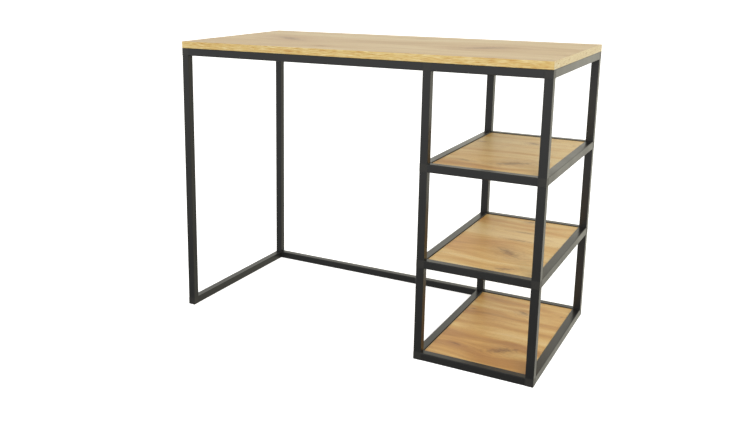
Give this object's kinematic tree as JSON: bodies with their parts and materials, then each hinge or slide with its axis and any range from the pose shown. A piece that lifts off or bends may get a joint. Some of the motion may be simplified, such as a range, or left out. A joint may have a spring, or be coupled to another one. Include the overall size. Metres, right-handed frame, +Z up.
{
  "type": "computer desk with open shelves",
  "caption": "Computer desk with a wood-decor top on a square-tube steel frame and an open shelf tower at its right end.",
  "frame": {"origin": "on the floor, in the middle of the desk's footprint", "axes": "+X along the desk towards the shelf tower, +Y from the sitter to the back, +Z up"},
  "size_m": [1, 0.5, 0.758],
  "materials": {
    "powder_coated_steel": "fine-textured dark grey-brown powder coat, satin",
    "moulded_connector": "moulded dark grey nylon, fine spark texture",
    "oak_decor_board": "oak-decor melamine on chipboard, matt, grain along the desk's length",
    "oak_decor_edge_band": "oak-decor edge band, satin, grain along each edge",
    "screw_steel": "zinc plated"
  },
  "bodies": {
    "root": {"base_back_rail_long": "powder_coated_steel", "base_left_rail": "powder_coated_steel", "base_tower_back_rail": "powder_coated_steel", "base_tower_front_rail": "powder_coated_steel", "base_tower_left_rail": "powder_coated_steel", "base_tower_right_rail": "powder_coated_steel", "connector_base_left_back": "moulded_connector", "connector_base_left_front": "moulded_connector", "connector_base_tower_left_back": "moulded_connector", "connector_base_tower_left_front": "moulded_connector", "connector_base_tower_right_back": "moulded_connector", "connector_base_tower_right_front": "moulded_connector", "connector_top_left_back": "moulded_connector", "connector_top_left_front": "moulded_connector", "connector_top_tower_left_back": "moulded_connector", "connector_top_tower_left_front": "moulded_connector", "connector_top_tower_right_back": "moulded_connector", "connector_top_tower_right_front": "moulded_connector", "connectors_mid_level": "moulded_connector", "connectors_upper_level": "moulded_connector", "desktop_board": "oak_decor_board", "desktop_edge_bands_long": "oak_decor_edge_band", "desktop_edge_bands_short": "oak_decor_edge_band", "desktop_screws": "screw_steel", "left_back_leg": "powder_coated_steel", "left_front_leg": "powder_coated_steel", "mid_tower_back_rail": "powder_coated_steel", "mid_tower_front_rail": "powder_coated_steel", "mid_tower_left_rail": "powder_coated_steel", "mid_tower_right_rail": "powder_coated_steel", "shelf_board_base": "oak_decor_board", "shelf_board_mid": "oak_decor_board", "shelf_board_upper": "oak_decor_board", "shelf_edge_bands": "oak_decor_edge_band", "shelf_screws": "screw_steel", "shelf_tabs": "powder_coated_steel", "top_back_rail_long": "powder_coated_steel", "top_front_rail_long": "powder_coated_steel", "top_left_rail": "powder_coated_steel", "top_tower_back_rail": "powder_coated_steel", "top_tower_front_rail": "powder_coated_steel", "top_tower_left_rail": "powder_coated_steel", "top_tower_right_rail": "powder_coated_steel", "tower_left_back_post_centre": "powder_coated_steel", "tower_left_back_post_lower": "powder_coated_steel", "tower_left_back_post_upper": "powder_coated_steel", "tower_left_front_post_centre": "powder_coated_steel", "tower_left_front_post_lower": "powder_coated_steel", "tower_left_front_post_upper": "powder_coated_steel", "tower_right_back_post_centre": "powder_coated_steel", "tower_right_back_post_lower": "powder_coated_steel", "tower_right_back_post_upper": "powder_coated_steel", "tower_right_front_post_centre": "powder_coated_steel", "tower_right_front_post_lower": "powder_coated_steel", "tower_right_front_post_upper": "powder_coated_steel", "upper_tower_back_rail": "powder_coated_steel", "upper_tower_front_rail": "powder_coated_steel", "upper_tower_left_rail": "powder_coated_steel", "upper_tower_right_rail": "powder_coated_steel"}
  },
  "joints": []
}
